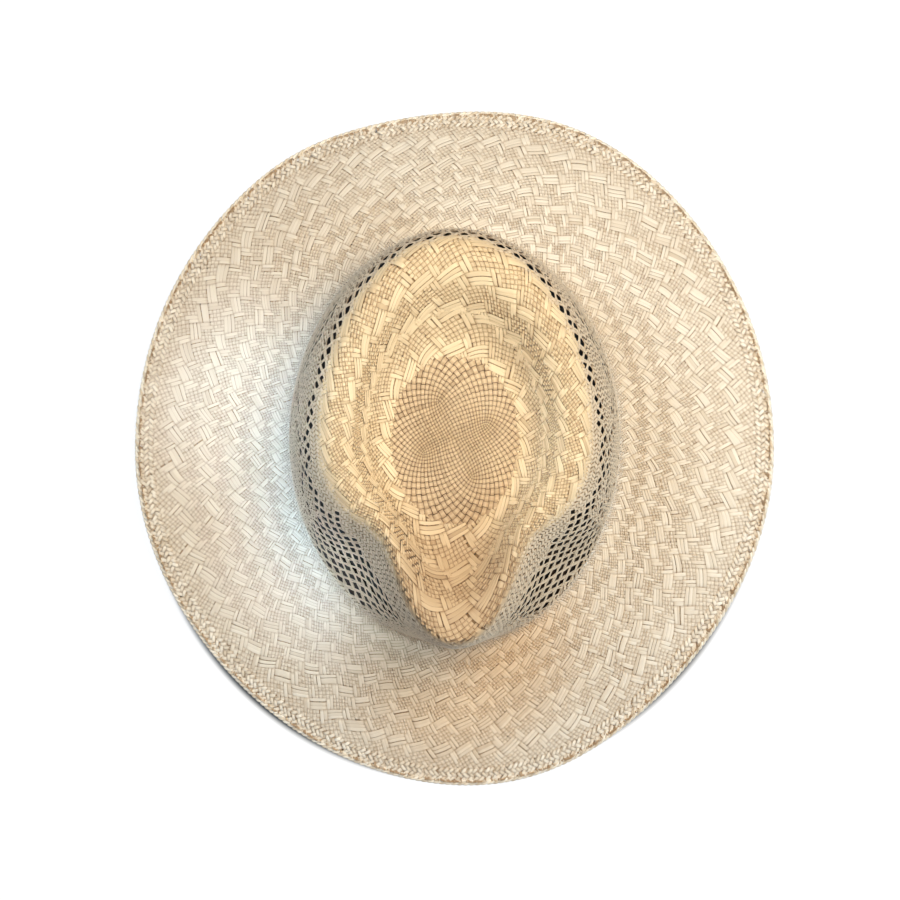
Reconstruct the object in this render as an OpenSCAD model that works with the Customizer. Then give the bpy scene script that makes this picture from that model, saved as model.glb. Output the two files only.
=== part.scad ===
// Straw sun hat with a teardrop crown, an openwork vent band and a wide brim.
// Millimetres, +Z up. The hat stands on the front and back of its brim edge at z = 0,
// its front faces -Y, and the origin is under the middle of the brim.

/* [Brim] */
// Width of the brim from side to side
brim_w = 326; // [300:1:360]
// Length of the brim from front to back
brim_l = 345; // [320:1:380]
// How far the front quarters of the outline are drawn in
quarter_draw = 3; // [0:0.5:6]
// How far the back quarters of the outline stand out
quarter_swell = 2.5; // [0:0.5:6]
// How far the soft corner at the back right stands out
right_corner = 6; // [0:0.5:8]
// How far the soft corner at the back left stands out
left_corner = 2.5; // [0:0.5:5]
// How far the outline stands out at the front
front_corner = 3.5; // [0:0.5:5]
// Height of the line where crown and brim meet
break_h = 23; // [18:1:32]
// How much higher the rim is held at its sides than at its front and back
side_lift = 20; // [10:1:28]
// Width of the herringbone border
border_w = 7; // [5:0.5:10]
// Thickness of the rolled plait at the edge
roll_d = 3; // [2.4:0.1:4]

/* [Crown] */
// Outside width of the crown at the brim
crown_w = 168; // [156:1:180]
// Outside length of the crown at the brim
crown_l = 208; // [196:1:220]
// How far the crown sits behind the middle of the brim
crown_back = 5; // [0:0.5:8]
// How much the crown leans forward, as a rise of its base at the back
crown_lean = 4; // [0:0.5:6]
// Height of the crown from the brim to the ridge
crown_h = 108; // [98:1:118]
// Extra height of the pinched nose
nose_rise = 5; // [0:0.5:8]
// Width of the teardrop ridge
ridge_w = 108; // [98:1:116]
// Reach of the ridge behind the crown's middle
ridge_back = 84; // [76:1:88]
// Reach of the ridge in front of the crown's middle, without the nose
ridge_front = 48; // [42:1:54]
// Reach of the nose beyond the ridge's front
nose_reach = 43; // [34:1:45]
// Depth of the dent inside the ridge
dent_depth = 20; // [12:1:26]
// Depth of the two pinches beside the nose
pinch_depth = 13; // [6:1:16]
// Radius of the turn between brim and crown
turn_r = 5; // [3:0.5:7]

/* [Rosette] */
// Width of the rosette on the floor of the dent
rosette_w = 62; // [52:1:68]
// Reach of the rosette behind the crown's middle
rosette_back = 40; // [34:1:44]
// Reach of the rosette in front of the crown's middle
rosette_front = 42; // [34:1:46]

/* [Straw] */
// Thickness of the woven straw
straw_t = 1.8; // [1.4:0.1:2.4]

/* [Sweatband] */
// Height of the sweatband
band_h = 34; // [26:1:38]
// Thickness of the sweatband
band_t = 1.2; // [0.8:0.1:1.6]
// Room between the sweatband and the straw
band_gap = 0.3; // [0.2:0.05:0.5]
// Thickness of the reed along the lower edge of the sweatband
reed_d = 2.2; // [1.6:0.1:3]
// Length of one stitch
stitch_l = 4; // [3:0.5:5]
// Thickness of the sewing thread
thread_d = 0.6; // [0.4:0.1:0.8]
// Width of the tape over the sweatband's join
join_w = 12; // [8:1:16]
// Thickness of that tape
join_t = 0.6; // [0.4:0.1:1]
// Length of one loop of the bow
bow_loop = 11; // [8:1:14]
// Width of the bow's ribbon
ribbon_w = 4; // [3:0.5:6]
// Thickness of the bow's ribbon
ribbon_t = 0.5; // [0.4:0.1:0.8]

/* [Hidden] */

straw_light = "#ead9b4";
straw_mid = "#dfc894";
straw_dark = "#cfb27a";
band_colour = "#4a372b";
thread_colour = "#f0e6d0";
ribbon_colour = "#3a2b22";

// Meridians round the hat, and rows along each stretch of a meridian
sectors = 64;
step_a = 360 / sectors;
round_trip = [for (i = [0:sectors - 1]) i * step_a];
brim_rows = 5;
border_rows = 2;
turn_rows = 3;
vent_rows = 12;
shoulder_rows = 4;
dent_rows = 6;
rosette_rows = 4;
band_rows = 3;
join_steps = 4;
roll_sides = 8;
reed_sides = 5;
thread_sides = 24;
loop_sides = 32;

front_a = 270;
back_a = 90;

// The nose fades over this angle from the front, and the pinches centre on this one
nose_span = 23;
pinch_at = 37;
pinch_span = 17;

// The three soft corners of the brim's outline, each as its reach, its angle and how far it spreads
corners_out = [[right_corner, 70, 23], [left_corner, 118, 15], [front_corner, 284, 20]];

// How the brim bends between crown and edge
brim_bend = 1.4;
// Height of the wall's first control point as a share of the crown's height
wall_mid = 0.45;
// How far the wall leans in at that point
wall_lean = 4;
// Roundness of the shoulder, and how much less it is at the pinches and the nose
shoulder_r = 18;
shoulder_less = 9;
// How much of the way from ridge to rosette is round at either end
dent_round = 0.45;

// Where along the wall's curve the vent band starts and ends
vent_low = 0.06;
vent_high = 0.58;
// A vent is this share of its rhombic cell
vent_share = 0.55;
// The vents form a chain of lozenges from this angle at the nose to the back
chain_start = 14;
lozenges = 3.5;
lozenge_a = (180 - chain_start) / lozenges;
lozenge_h = 0.88;
outline_w = 0.12;

// Room between two pieces that lie against each other
seat_gap = 0.2;
// Heights of the seam and the bow above the lower edge of the sweatband
seam_up = 3;
bow_up = 18;
// A loop of the bow is this thick, and its two tails have this length and spread
loop_d = 3;
tail_l = 12;
tail_spread = 22;
// The tape over the join stops short of the sweatband's upper edge by this share of its height
tape_less = 0.06;

band_depth = straw_t + band_gap;
lining_depth = band_depth + band_t;
tape_depth = lining_depth + seat_gap;
bow_depth = tape_depth + join_t + seat_gap;

// Angle from the front, 0 at the nose and 180 at the back
function from_front(a) = abs((a + front_a) % 360 - 180);
function oval(a, half_w, half_l) =
    half_w * half_l / sqrt(pow(half_l * cos(a), 2) + pow(half_w * sin(a), 2));
function bell(x, span) = exp(-pow(x / span, 2));
function mix(p, q, t) = p + (q - p) * t;
function bezier(p, u) =
    pow(1 - u, 3) * p[0] + 3 * pow(1 - u, 2) * u * p[1] + 3 * (1 - u) * u * u * p[2] + u * u * u * p[3];
function unit(v) = v / norm(v);
function steps(from, to, rows) = [for (k = [0:rows]) mix(from, to, k / rows)];
function flatten(lists) = [for (l = lists) each l];

function base_r(a) = oval(a, crown_w / 2, crown_l / 2);
function corner_reach(a, corner) = corner[0] * bell(a - corner[1], corner[2]);
function edge_r(a) = oval(a, brim_w / 2, brim_l / 2)
    + (sin(a) > 0 ? quarter_swell : -quarter_draw) * pow(sin(2 * a), 2)
    + corner_reach(a, corners_out[0]) + corner_reach(a, corners_out[1]) + corner_reach(a, corners_out[2]);
function ridge_r(a) = oval(a, ridge_w / 2, from_front(a) > 90 ? ridge_back : ridge_front)
    + nose_reach * bell(from_front(a), nose_span);
function rosette_r(a) = oval(a, rosette_w / 2, from_front(a) > 90 ? rosette_back : rosette_front);
function pinch(a) = bell(from_front(a) - pinch_at, pinch_span);
function ridge_h(a) = crown_h + nose_rise * bell(from_front(a), 2 * nose_span);

// A point of the crown at angle a, radius r and height h above the sloping base
function crown_point(a, r, h) =
    [r * cos(a), crown_back + r * sin(a), break_h + crown_lean * r * sin(a) / (crown_l / 2) + h];
// A point near the rim, this far inside it and this far above the middle of the rolled plait
function edge_point(a, inset, up) = [
    (edge_r(a) - inset) * cos(a), (edge_r(a) - inset) * sin(a), roll_d / 2 + up + side_lift * pow(cos(a), 4)
];
function brim_point(a, t) =
    let (
        start = crown_point(a, base_r(a) + turn_r, 0),
        end = edge_point(a, roll_d + seat_gap, straw_t / 2),
        flat = mix(start, end, t)
    )
    [flat[0], flat[1], mix(start[2], end[2], pow(t, brim_bend))];
function turn_point(a, u) =
    crown_point(a, base_r(a) + turn_r * (1 - sin(90 * u)), turn_r * (1 - cos(90 * u)));
function wall_curve(a) = [
    [base_r(a), turn_r],
    [base_r(a) - wall_lean - pinch_depth * pinch(a), wall_mid * ridge_h(a)],
    [ridge_r(a) + shoulder_r - shoulder_less * (pinch(a) + bell(from_front(a), nose_span)), ridge_h(a)],
    [ridge_r(a), ridge_h(a)]
];
function dent_curve(a) =
    let (reach = dent_round * (ridge_r(a) - rosette_r(a)), floor_h = crown_h - dent_depth)
    [
        [ridge_r(a), ridge_h(a)], [ridge_r(a) - reach, ridge_h(a)],
        [rosette_r(a) + reach, floor_h], [rosette_r(a), floor_h]
    ];
function curve_point(a, curve, u) = let (p = bezier(curve, u)) crown_point(a, p[0], p[1]);
function rosette_point(a, u) = crown_point(a, rosette_r(a) * (1 - u), crown_h - dent_depth);

// One meridian of the outer surface from the rim to the middle, numbered through its stretches:
// 0 to 1 brim, 1 to 2 turn, 2 to 3 wall, 3 to 4 dent, 4 to 5 rosette
function hat_point(a, s) =
    s < 1 ? brim_point(a, 1 - s)
    : s < 2 ? turn_point(a, s - 1)
    : s < 3 ? curve_point(a, wall_curve(a), s - 2)
    : s < 4 ? curve_point(a, dent_curve(a), s - 3)
    : rosette_point(a, s - 4);
// The surface's outward direction, from short steps over it
probe_s = 0.004;
probe_a = 0.5;
function outward(a, s) = unit(cross(
    hat_point(a + probe_a, s) - hat_point(a - probe_a, s),
    hat_point(a, s + probe_s) - hat_point(a, max(s - probe_s, 0))
));
// A point at this depth under the outer surface
function under(a, s, depth) = hat_point(a, s) - depth * outward(a, s);
// Place on the wall's curve at a height above the wall's foot, found by halving
function wall_place(h, low = 0, high = 1, turns = 20) =
    let (middle = (low + high) / 2)
    turns == 0 ? 2 + middle
    : bezier(wall_curve(0), middle)[1] - turn_r < h ? wall_place(h, middle, high, turns - 1)
    : wall_place(h, low, middle, turns - 1);

// Share of the brim that the border takes, at the side of the hat
border_s = border_w / ((brim_w - crown_w) / 2 - turn_r - roll_d);
seam_s = wall_place(seam_up);
bow_s = wall_place(bow_up);
band_s = concat([2], steps(seam_s, wall_place(band_h), band_rows));

// Faces of two layers of points, outer then inner, each with its rows of columns
function layer_faces(rows, columns, last) =
    let (layer = rows * columns)
    flatten([for (row = [0:rows - 2], i = [0:last])
        let (
            a = row * columns + i, b = row * columns + (i + 1) % columns,
            c = a + columns, d = b + columns
        )
        [[a, c, b], [b, c, d], [layer + a, layer + b, layer + c], [layer + b, layer + d, layer + c]]]);
// Faces that close the first row and the last row of such layers
function first_faces(rows, columns, last) =
    let (layer = rows * columns)
    flatten([for (i = [0:last])
        let (a = i, b = (i + 1) % columns)
        [[a, b, layer + a], [b, layer + b, layer + a]]]);
function last_faces(rows, columns, last) =
    let (layer = rows * columns, top = layer - columns)
    flatten([for (i = [0:last])
        let (a = top + i, b = top + (i + 1) % columns)
        [[a, layer + a, b], [b, layer + a, layer + b]]]);
// Faces that close the two ends of layers that don't run all the way round
function end_faces(rows, columns) =
    let (layer = rows * columns)
    flatten([for (row = [0:rows - 2])
        let (a = row * columns, b = a + columns - 1, c = a + columns, d = b + columns)
        [[a, layer + a, c], [c, layer + a, layer + c], [b, d, layer + b], [d, layer + d, layer + b]]]);

// A closed solid between two depths, over the meridian places and all angles or those given
module shell(places, depth_out, depth_in, angles = round_trip) {
    rows = len(places);
    columns = len(angles);
    whole = angles == round_trip;
    last = whole ? columns - 1 : columns - 2;
    polyhedron(
        [for (depth = [depth_out, depth_in], s = places, a = angles) under(a, s, depth)],
        concat(
            layer_faces(rows, columns, last), first_faces(rows, columns, last),
            last_faces(rows, columns, last), whole ? [] : end_faces(rows, columns)
        )
    );
}

// A closed tube of the given sides round a closed line of centres
module closed_tube(centres, radius, sides) {
    count = len(centres);
    function at(k, j) = (k % count) * sides + j % sides;
    polyhedron(
        [for (k = [0:count - 1], j = [0:sides - 1])
            let (out = [cos(k * step_a), sin(k * step_a), 0], turn = 360 * j / sides)
            centres[k] + radius * (cos(turn) * out + [0, 0, sin(turn)])],
        flatten([for (k = [0:count - 1], j = [0:sides - 1]) [
            [at(k, j), at(k, j + 1), at(k + 1, j)],
            [at(k, j + 1), at(k + 1, j + 1), at(k + 1, j)]
        ]])
    );
}

// True where a rhombic cell of the vent band is open: whole lozenges of vents take turns
// with close ones that have a single line of vents round them
function vent_open(row, i) =
    let (
        f = from_front((i + 0.5 + (row % 2) / 2) * step_a),
        k = (f - chain_start) / lozenge_a,
        across = abs(2 * (k - floor(k)) - 1),
        up = abs(2 * row / vent_rows - 1) / lozenge_h,
        from_middle = across + up
    )
    f > chain_start && row > 0 && row < vent_rows
    && (floor(k) % 2 == 0 ? from_middle < 1 + outline_w : abs(from_middle - 1) < outline_w);

module crown_rosette() {
    places = steps(4, 5 - 1 / rosette_rows, rosette_rows - 1);
    rows = len(places);
    layer = rows * sectors;
    middle = crown_point(0, 0, crown_h - dent_depth);
    points = concat(
        [for (depth = [0, straw_t], s = places, a = round_trip) under(a, s, depth)],
        [middle, middle - straw_t * outward(0, places[1])]
    );
    closing = flatten([for (i = [0:sectors - 1])
        let (a = layer - sectors + i, b = layer - sectors + (i + 1) % sectors)
        [[a, 2 * layer, b], [layer + a, layer + b, 2 * layer + 1]]]);
    color(straw_mid) polyhedron(points, concat(
        layer_faces(rows, sectors, sectors - 1), first_faces(rows, sectors, sectors - 1), closing
    ));
}

module crown_dent() {
    color(straw_mid) shell(steps(3, 4, dent_rows), 0, straw_t);
}

module crown_shoulder() {
    color(straw_light) shell(steps(2 + vent_high, 3, shoulder_rows), 0, straw_t);
}

module vent_band() {
    places = steps(2 + vent_low, 2 + vent_high, vent_rows);
    layer = (vent_rows + 1) * sectors;
    function at(row, i) = row * sectors + i % sectors;
    // The four corners of a cell, left, top, right and bottom
    function corners(row, i) = [
        at(row, i), at(row + 1, i + row % 2), at(row, i + 1), at(row - 1, i + row % 2)
    ];
    cells = [for (row = [0:vent_rows], i = [0:sectors - 1]) [row, i]];
    open_cells = [for (c = cells) if (vent_open(c[0], c[1])) c];
    close_cells = [for (c = cells) if (!vent_open(c[0], c[1])) c];
    lattice = [for (depth = [0, straw_t], row = [0:vent_rows], i = [0:sectors - 1])
        under((i + (row % 2) / 2) * step_a, places[row], depth)];
    vents = [for (c = open_cells, depth = [0, 1])
        let (
            p = [for (k = corners(c[0], c[1])) lattice[depth * layer + k]],
            middle = (p[0] + p[1] + p[2] + p[3]) / 4
        )
        each [for (q = p) mix(middle, q, vent_share)]];
    close_faces = flatten([for (c = close_cells)
        let (k = corners(c[0], c[1]), low = c[0] > 0, high = c[0] < vent_rows)
        concat(
            high ? [[k[0], k[1], k[2]], [layer + k[0], layer + k[2], layer + k[1]]] : [],
            low ? [[k[0], k[2], k[3]], [layer + k[0], layer + k[3], layer + k[2]]] : []
        )]);
    open_faces = flatten([for (n = [0:len(open_cells) - 1], m = [0:3])
        let (
            k = corners(open_cells[n][0], open_cells[n][1]), next = (m + 1) % 4,
            first = 2 * layer + 8 * n, a = first + m, b = first + next,
            p = k[m], q = k[next]
        )
        [
            [p, q, b], [p, b, a], [layer + p, b + 4, layer + q], [layer + p, a + 4, b + 4],
            [a, b, b + 4], [a, b + 4, a + 4]
        ]]);
    color(straw_light) polyhedron(concat(lattice, vents), concat(
        close_faces, open_faces, first_faces(vent_rows + 1, sectors, sectors - 1),
        last_faces(vent_rows + 1, sectors, sectors - 1)
    ));
}

module crown_collar() {
    color(straw_mid) shell(concat(steps(1, 2, turn_rows), [2 + vent_low]), 0, straw_t);
}

module brim() {
    color(straw_light) shell(steps(border_s, 1, brim_rows), 0, straw_t);
}

module brim_border() {
    color(straw_mid) shell(steps(0, border_s, border_rows), 0, straw_t);
}

module brim_edge() {
    color(straw_dark)
        closed_tube([for (a = round_trip) edge_point(a, roll_d / 2, 0)], roll_d / 2, roll_sides);
}

module sweatband() {
    color(band_colour) shell(band_s, band_depth, lining_depth);
}

module sweatband_reed() {
    down = [0, 0, reed_d / 2 + seat_gap];
    color(thread_colour)
        closed_tube([for (a = round_trip) under(a, 2, band_depth + reed_d / 2) - down], reed_d / 2, reed_sides);
}

module sweatband_stitches() {
    color(thread_colour) for (a = round_trip) {
        p = under(a, seam_s, lining_depth);
        q = under(a + step_a, seam_s, lining_depth);
        inward = outward(a + step_a / 2, seam_s);
        turn = atan2(q[1] - p[1], q[0] - p[0]);
        tip = asin((q[2] - p[2]) / norm(q - p));
        translate((p + q) / 2 - (thread_d / 2 + seat_gap) * inward)
            rotate([0, 90 - tip, turn]) cylinder(d = thread_d, h = stitch_l, center = true, $fn = thread_sides);
    }
}

module sweatband_join() {
    half_a = asin(join_w / 2 / base_r(back_a));
    angles = steps(back_a - half_a, back_a + half_a, join_steps);
    color(ribbon_colour) shell([for (k = [1:len(band_s) - 1]) mix(band_s[k], band_s[1], tape_less)],
        tape_depth, tape_depth + join_t, angles);
}

// A ribbon loop seen from its edge, lying along +X from the knot
module loop_outline(thick) {
    half = thick / 2;
    translate([half, 0]) circle(r = half, $fn = loop_sides);
    translate([bow_loop - half, 0]) circle(r = half, $fn = loop_sides);
    translate([half, -half]) square([bow_loop - thick, thick]);
}

module sweatband_bow() {
    seat = under(back_a, bow_s, bow_depth) - [0, loop_d / 2, 0];
    color(ribbon_colour) translate(seat) {
        cube([ribbon_w, loop_d, ribbon_w + 2 * ribbon_t], center = true);
        for (side = [0, 1]) mirror([side, 0, 0]) {
            translate([0, 0, -ribbon_w / 2]) linear_extrude(ribbon_w) difference() {
                loop_outline(loop_d);
                translate([ribbon_t, 0]) scale((bow_loop - 2 * ribbon_t) / bow_loop) loop_outline(loop_d);
            }
            rotate([0, tail_spread, 0]) translate([-ribbon_w / 2, 0, -tail_l])
                cube([ribbon_w, ribbon_t, tail_l]);
        }
    }
}

crown_rosette();
crown_dent();
crown_shoulder();
vent_band();
crown_collar();
brim();
brim_border();
brim_edge();
sweatband();
sweatband_reed();
sweatband_stitches();
sweatband_join();
sweatband_bow();
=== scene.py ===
# %% [markdown]
# # A woven straw sun hat
# The hat is plaited from strips of palm leaf. The weaving starts at the rosette on top of the crown,
# runs down the crown's wall, where open rows let air through, and goes on into the brim, all in one cloth.
# A bump map on a smooth shell could fake the look. Here every strip is a thin closed ribbon
# that goes over and under the others, so the weave holds up from any side and light falls through the vents.

# %% Load the frame
import math

import bmesh
import bpy
import numpy as np
from mathutils import Matrix, Vector


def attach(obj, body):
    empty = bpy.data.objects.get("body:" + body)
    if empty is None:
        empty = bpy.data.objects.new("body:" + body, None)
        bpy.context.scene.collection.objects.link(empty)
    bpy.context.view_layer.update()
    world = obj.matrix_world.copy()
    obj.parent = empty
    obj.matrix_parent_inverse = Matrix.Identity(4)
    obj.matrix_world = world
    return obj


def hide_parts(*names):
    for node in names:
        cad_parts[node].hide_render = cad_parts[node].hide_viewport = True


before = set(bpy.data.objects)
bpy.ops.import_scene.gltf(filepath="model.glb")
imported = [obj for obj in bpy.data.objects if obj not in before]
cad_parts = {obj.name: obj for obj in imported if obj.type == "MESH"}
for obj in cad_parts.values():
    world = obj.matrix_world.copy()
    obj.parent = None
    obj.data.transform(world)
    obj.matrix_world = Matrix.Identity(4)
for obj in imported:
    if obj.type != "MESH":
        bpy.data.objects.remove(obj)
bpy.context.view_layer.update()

# %% [markdown]
# ## Camera
# The picture was taken from straight above, from about a metre. The camera hangs there and looks down,
# with the front of the hat at the bottom of the picture.

# %% Camera
camera_height = 1.02
focal_pixels = 1960.0
picture_pixels = 900.0
sensor_mm = 36.0
hat_offset = Vector((-0.0023, -0.0003, 0.0))

camera = bpy.data.objects.new("camera", bpy.data.cameras.new("camera"))
camera.data.sensor_width = sensor_mm
camera.data.lens = sensor_mm * focal_pixels / picture_pixels
camera.location = hat_offset + Vector((0.0, 0.0, camera_height))
bpy.context.scene.collection.objects.link(camera)
bpy.context.scene.camera = camera
print("lens", round(camera.data.lens, 1), "mm at", camera_height, "m")

# %% [markdown]
# ## Light
# The light is soft. Cool light comes from a window at the back left and from another on the right. A broad
# warm lamp hangs over the hat, a little to the right, and a faint low one stands behind it. Three small cool
# patches fall from the left: on the front of the wall, on the brim at the crown's foot and into the dent.
# Round area lamps give every shadow a soft edge, and a narrow spread keeps the light of a patch together.

# %% Lights and world
cool_white, sky_blue = (0.55, 0.77, 1.0), (0.5, 0.75, 1.0)
warm_white, low_sun = (1.0, 0.78, 0.48), (1.0, 0.7, 0.3)
all_round = 180
room_colour, room_strength = (0.97, 0.98, 1.0, 1.0), 0.31

# Each row gives a name, the place, what it aims at, its size in metres, watts, colour and spread in degrees.
lamps = (
    ("window_left", (-0.5, 0.34, 0.95), (-0.08, 0.08, 0.05), 0.4, 4.4, cool_white, all_round),
    ("lamp_right", (0.22, 0.16, 0.92), (0.02, 0.0, 0.08), 0.35, 5.6, warm_white, all_round),
    ("lamp_back", (0.05, 0.65, 0.5), (0.0, 0.1, 0.06), 0.3, 0.4, low_sun, all_round),
    ("window_right", (0.8, -0.25, 0.72), (0.09, -0.02, 0.03), 0.4, 5.4, cool_white, all_round),
    ("sky_left", (-0.32, -0.18, 0.8), (-0.07, -0.055, 0.05), 0.06, 0.02, sky_blue, 8),
    ("sky_above", (-0.16, 0.04, 0.9), (-0.094, 0.022, 0.035), 0.05, 0.019, sky_blue, 9),
    ("sky_dent", (-0.58, 0.02, 0.62), (0.045, 0.0, 0.118), 0.08, 0.008, sky_blue, 7),
)
for name, place, aim, size, watts, colour, spread in lamps:
    lamp = bpy.data.objects.new(name, bpy.data.lights.new(name, "AREA"))
    lamp.data.shape = "DISK"
    lamp.data.size = size
    lamp.data.energy = watts
    lamp.data.color = colour
    lamp.data.spread = math.radians(spread)
    lamp.location = place
    lamp.rotation_mode = "QUATERNION"
    lamp.rotation_quaternion = (Vector(aim) - Vector(place)).to_track_quat("-Z", "Y")
    bpy.context.scene.collection.objects.link(lamp)

world = bpy.data.worlds.new("studio")
bpy.context.scene.world = world
world.use_nodes = True
room = world.node_tree.nodes["Background"]
room.inputs["Color"].default_value = room_colour
room.inputs["Strength"].default_value = room_strength
bpy.context.scene.view_settings.view_transform = "Standard"
print("lamps", [row[0] for row in lamps])

# %% [markdown]
# ## The shape of the hat
# One function gives the outer surface. An angle goes round the hat and a place runs along a meridian from
# the rim to the middle of the crown: 0 to 1 brim, 1 to 2 the turn, 2 to 3 the wall, 3 to 4 the dent and
# 4 to 5 the rosette. The same numbers shape the solids, so whatever is laid on this surface sits on them.

# %% Sizes
MM = 0.001
brim_w, brim_l = 326 * MM, 345 * MM
quarter_draw, quarter_swell = 3 * MM, 2.5 * MM
corners_out = ((6 * MM, 70, 23), (2.5 * MM, 118, 15), (3.5 * MM, 284, 20))
break_h, side_lift, roll_d = 23 * MM, 20 * MM, 3 * MM
border_w = 7 * MM
crown_w, crown_l = 168 * MM, 208 * MM
crown_back, crown_lean, crown_h, nose_rise = 5 * MM, 4 * MM, 108 * MM, 5 * MM
ridge_w, ridge_back, ridge_front, nose_reach = 108 * MM, 84 * MM, 48 * MM, 43 * MM
dent_depth, pinch_depth, turn_r = 20 * MM, 13 * MM, 5 * MM
rosette_w, rosette_back, rosette_front = 62 * MM, 40 * MM, 42 * MM
straw_t, seat_gap = 1.8 * MM, 0.2 * MM
nose_span, pinch_at, pinch_span = 23, 37, 17
brim_bend, wall_mid, wall_lean = 1.4, 0.45, 4 * MM
shoulder_r, shoulder_less, dent_round = 18 * MM, 9 * MM, 0.45
vent_low, vent_high = 0.06, 0.58
past_rim = 1.05
border_s = border_w / ((brim_w - crown_w) / 2 - turn_r - roll_d)


# %% Outlines
def from_front(a):
    return np.abs(np.mod(a + 270, 360) - 180)


def oval(a, half_w, half_l):
    t = np.radians(a)
    return half_w * half_l / np.sqrt((half_l * np.cos(t)) ** 2 + (half_w * np.sin(t)) ** 2)


def bell(x, span):
    return np.exp(-((x / span) ** 2))


def edge_r(a):
    a = np.mod(a, 360)
    t = np.radians(a)
    quarters = np.where(np.sin(t) > 0, quarter_swell, -quarter_draw) * np.sin(2 * t) ** 2
    corners = sum(reach * bell(a - at, span) for reach, at, span in corners_out)
    return oval(a, brim_w / 2, brim_l / 2) + quarters + corners


def base_r(a):
    return oval(a, crown_w / 2, crown_l / 2)


def ridge_r(a):
    f = from_front(a)
    return oval(a, ridge_w / 2, np.where(f > 90, ridge_back, ridge_front)) + nose_reach * bell(f, nose_span)


def rosette_r(a):
    return oval(a, rosette_w / 2, np.where(from_front(a) > 90, rosette_back, rosette_front))


# %% The surface
def crown_point(a, r, h):
    t = np.radians(a)
    lean = crown_lean * r * np.sin(t) / (crown_l / 2)
    return np.stack([r * np.cos(t), crown_back + r * np.sin(t), break_h + lean + h], -1)


def edge_point(a, inset, up):
    t = np.radians(a)
    r = edge_r(a) - inset
    return np.stack([r * np.cos(t), r * np.sin(t), roll_d / 2 + up + side_lift * np.cos(t) ** 4], -1)


def bezier(p, u):
    v = 1 - u
    return v**3 * p[0] + 3 * v * v * u * p[1] + 3 * v * u * u * p[2] + u**3 * p[3]


def hat_point(a, s):
    a, s = np.broadcast_arrays(np.asarray(a, float), np.asarray(s, float))
    foot, ridge, rosette = base_r(a), ridge_r(a), rosette_r(a)
    top = crown_h + nose_rise * bell(from_front(a), 2 * nose_span)
    pinch = bell(from_front(a) - pinch_at, pinch_span)
    start, end = crown_point(a, foot + turn_r, 0 * a), edge_point(a, roll_d + seat_gap, straw_t / 2)
    t = np.clip(1 - s, 0, past_rim)
    brim = start + (end - start) * t[..., None]
    brim[..., 2] = start[..., 2] + (end[..., 2] - start[..., 2]) * t**brim_bend
    u = np.radians(90 * np.clip(s - 1, 0, 1))
    turn = crown_point(a, foot + turn_r * (1 - np.sin(u)), turn_r * (1 - np.cos(u)))
    u = np.clip(s - 2, 0, 1)
    less = shoulder_less * (pinch + bell(from_front(a), nose_span))
    r = bezier([foot, foot - wall_lean - pinch_depth * pinch, ridge + shoulder_r - less, ridge], u)
    wall = crown_point(a, r, bezier([turn_r + 0 * a, wall_mid * top, top, top], u))
    u = np.clip(s - 3, 0, 1)
    reach, floor_h = dent_round * (ridge - rosette), crown_h - dent_depth + 0 * a
    r = bezier([ridge, ridge - reach, rosette + reach, rosette], u)
    dent = crown_point(a, r, bezier([top, top, floor_h, floor_h], u))
    middle = crown_point(a, rosette * (1 - np.clip(s - 4, 0, 1)), floor_h)
    k = np.floor(s)[..., None]
    return np.select([k < 1, k < 2, k < 3, k < 4], [brim, turn, wall, dent], middle)


def outward(a, s, step_a=0.5, step_s=0.004, tiny=1e-12):
    round_hat = hat_point(a + step_a, s) - hat_point(a - step_a, s)
    inward = hat_point(a, s + step_s) - hat_point(a, np.maximum(s - step_s, 0))
    n = np.cross(round_hat, inward)
    return n / np.maximum(np.linalg.norm(n, axis=-1, keepdims=True), tiny)


print("ridge is", round(float(hat_point(90.0, 3.0)[2]) / MM, 1), "mm up at the back")

# %% [markdown]
# ## Laying strips
# A strip of palm leaf is a long thin lens in section: two edges, a rounded top and a slightly rounded
# underside. Each strip starts as a flat grid with one row for each station along it and five columns round
# it. The last column falls on the first and both ends close to a point, so welding makes a closed ribbon.
# All strips of one lay go into one mesh, and each vertex is then moved to its place on the hat.


# %% Ribbons from grids
def ribbons(name, counts, places, values):
    """One mesh of closed tubes: counts are the stations of each, places one row of points a station."""
    columns = places.shape[1]
    bm = bmesh.new()
    first = 0
    for count in counts:
        length = count - 1
        centre = Matrix.Translation((first + length / 2, columns / 2, 0))
        bmesh.ops.create_grid(bm, x_segments=length, y_segments=columns, size=1,
                              matrix=centre @ Matrix.Diagonal((length / 2, columns / 2, 1, 1)))
        first += count
    mesh = bpy.data.meshes.new(name)
    bm.to_mesh(mesh)
    bm.free()
    flat = np.empty(len(mesh.vertices) * 3)
    mesh.vertices.foreach_get("co", flat)
    grid = np.rint(flat.reshape(-1, 3)).astype(int)
    station, column = grid[:, 0], grid[:, 1] % columns
    mesh.vertices.foreach_set("co", places[station, column].astype(np.float32).ravel())
    for key, value in values.items():
        layer = mesh.attributes.new(key, "FLOAT", "POINT")
        layer.data.foreach_set("value", value[station, column].astype(np.float32))
    return weld(mesh)


def weld(mesh, gap=1e-7, sharp=math.radians(60)):
    bm = bmesh.new()
    bm.from_mesh(mesh)
    bmesh.ops.remove_doubles(bm, verts=bm.verts, dist=gap)
    bmesh.ops.dissolve_degenerate(bm, edges=bm.edges, dist=gap)
    bmesh.ops.recalc_face_normals(bm, faces=bm.faces)
    bm.to_mesh(mesh)
    bm.free()
    mesh.shade_smooth()
    mesh.set_sharp_from_angle(angle=sharp)
    return mesh


def piece(mesh, material, slot, *nodes):
    made = bpy.data.objects.new(mesh.name, mesh)
    bpy.context.scene.collection.objects.link(made)
    mesh.materials.append(material)
    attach(made, "root")
    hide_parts(*nodes)
    faces = sum(len(p.vertices) - 2 for p in mesh.polygons)
    print(made.name, faces, "triangles")


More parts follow.
